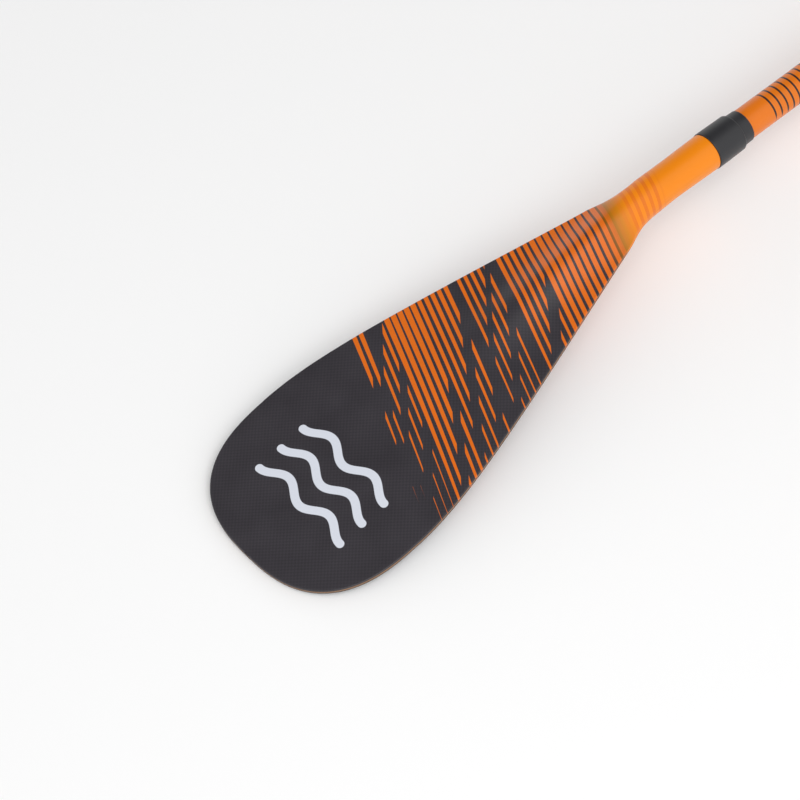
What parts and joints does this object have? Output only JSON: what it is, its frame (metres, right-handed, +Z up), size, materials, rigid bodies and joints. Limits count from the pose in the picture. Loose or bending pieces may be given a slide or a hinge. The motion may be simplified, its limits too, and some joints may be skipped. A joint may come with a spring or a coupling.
{
  "type": "adjustable stand-up paddle",
  "caption": "Single-blade paddle with a cranked carbon blade, stepped neck collar, take-apart middle tube, lever clamp and a sliding T-grip handle.",
  "frame": {"origin": "on the ground, under the middle of the paddle's bounding box, as it lies on the blade's tip and the grip", "axes": "+Z up, away from the ground; +Y along the paddle towards the grip; +X across the blade"},
  "size_m": [0.198, 1.6484, 0.0851],
  "materials": {
    "carbon_front": "satin woven carbon laminate with printed orange stripes",
    "carbon_back": "satin woven carbon laminate",
    "foam": "closed-cell foam",
    "edge_resin": "sanded resin and glass fibre edge",
    "orange_lacquer": "glossy orange lacquer over a fibre tube",
    "collar_rubber": "matte moulded rubber",
    "seal_rubber": "matte rubber",
    "shaft_orange": "orange lacquer with dark printed rings",
    "handle_lacquer": "satin dark fibre tube with height marks",
    "black_nylon": "moulded glass-filled nylon",
    "grey_nylon": "moulded nylon",
    "steel": "turned stainless steel",
    "spring_steel": "spring steel strip",
    "grip_rubber": "matte textured thermoplastic rubber"
  },
  "bodies": {
    "blade_section": {"blade_front_skin": "carbon_front", "blade_back_skin": "carbon_back", "blade_core": "foam", "blade_edge_strip": "edge_resin", "neck_tube": "orange_lacquer", "neck_bung": "foam", "neck_collar": "collar_rubber", "collar_seal": "seal_rubber"},
    "middle_section": {"middle_tube": "shaft_orange", "middle_bung": "foam", "snap_spring": "spring_steel", "clamp_body": "black_nylon", "clamp_bolt": "steel", "cam_washer": "steel", "lever_pin": "steel", "wiper_ring": "grey_nylon"},
    "snap_button": {"snap_button": "steel"},
    "clamp_lever": {"clamp_lever": "black_nylon"},
    "handle_section": {"handle_tube": "handle_lacquer", "handle_end_plug": "grey_nylon", "grip_body": "black_nylon", "grip_cover": "grip_rubber", "grip_rivet": "steel"}
  },
  "joints": [
    {"name": "middle_pull_out", "type": "slide", "parent": "blade_section", "child": "middle_section", "axis": [0, 0.9989, -0.0466], "range_m": [0, 0.1], "deforming": ["snap_button"]},
    {"name": "snap_button_press", "type": "slide", "parent": "middle_section", "child": "snap_button", "axis": [0, 0.0466, 0.9989], "range_m": [0, 0.005], "stiffness_N_per_m": 2000, "springref_m": -0.002, "deforming": ["snap_spring"]},
    {"name": "clamp_lever_open", "type": "hinge", "parent": "middle_section", "child": "clamp_lever", "pos_m": [0.0236, 0.47669, 0.0426], "axis": [0, 0.9989, -0.0466], "range_deg": [0, 150]},
    {"name": "handle_slide", "type": "slide", "parent": "middle_section", "child": "handle_section", "axis": [0, 0.9989, -0.0466], "range_m": [0, 0.45]}
  ]
}
